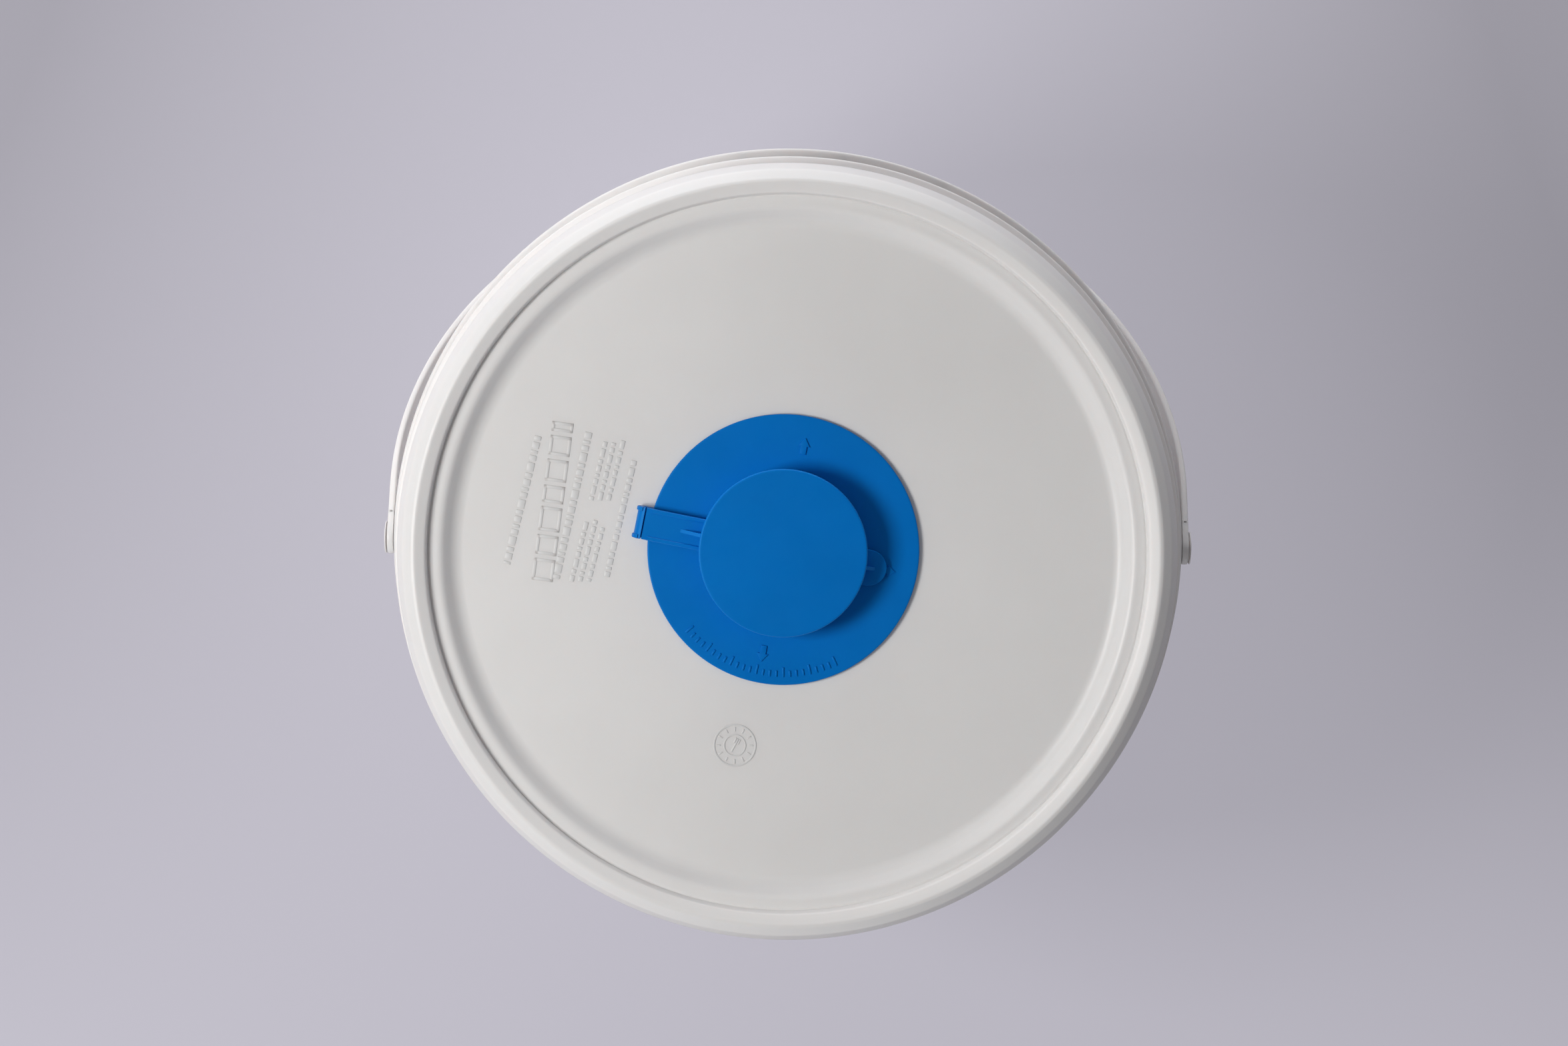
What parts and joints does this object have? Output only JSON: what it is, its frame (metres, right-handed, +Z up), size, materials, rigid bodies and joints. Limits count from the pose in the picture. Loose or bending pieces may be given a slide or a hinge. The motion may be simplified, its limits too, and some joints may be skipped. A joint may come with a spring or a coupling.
{
  "type": "wipes canister",
  "caption": "Round tapered plastic pail of cleaning wipes with a press-on lid, a pull-through closure under a strapped snap cap, a carrying bail and a centre-pull roll inside.",
  "frame": {"origin": "on the floor under the pail's axis, at the bottom centre of the bounding box", "axes": "+Z up along the pail's axis, the bail's pivots on X, the folded bail on the +Y side, the closure's strap towards -X"},
  "size_m": [0.2196, 0.2132, 0.1941],
  "materials": {
    "pail": "satin white moulded polypropylene",
    "lid": "satin white moulded polypropylene",
    "closure": "semi-gloss blue moulded polypropylene",
    "bail": "satin white moulded polypropylene",
    "wipes": "soft white nonwoven, damp"
  },
  "bodies": {
    "pail": {"pail": "pail", "wipes_roll": "wipes"},
    "lid": {"lid": "lid", "dispenser_base": "closure"},
    "cap": {"dispenser_cap": "closure"},
    "handle": {"handle": "bail"}
  },
  "joints": [
    {"name": "lid_lift", "type": "slide", "parent": "pail", "child": "lid", "axis": [0, 0, 1], "range_m": [0, 0.12]},
    {"name": "cap_hinge", "type": "hinge", "parent": "lid", "child": "cap", "pos_m": [-0.03768, 0.008, 0.1875], "axis": [-0.1822, -0.9833, 0], "range_deg": [0, 140]},
    {"name": "handle_swing", "type": "hinge", "parent": "pail", "child": "handle", "pos_m": [0, 0, 0.1495], "axis": [1, 0, 0], "range_deg": [0, 236]}
  ]
}
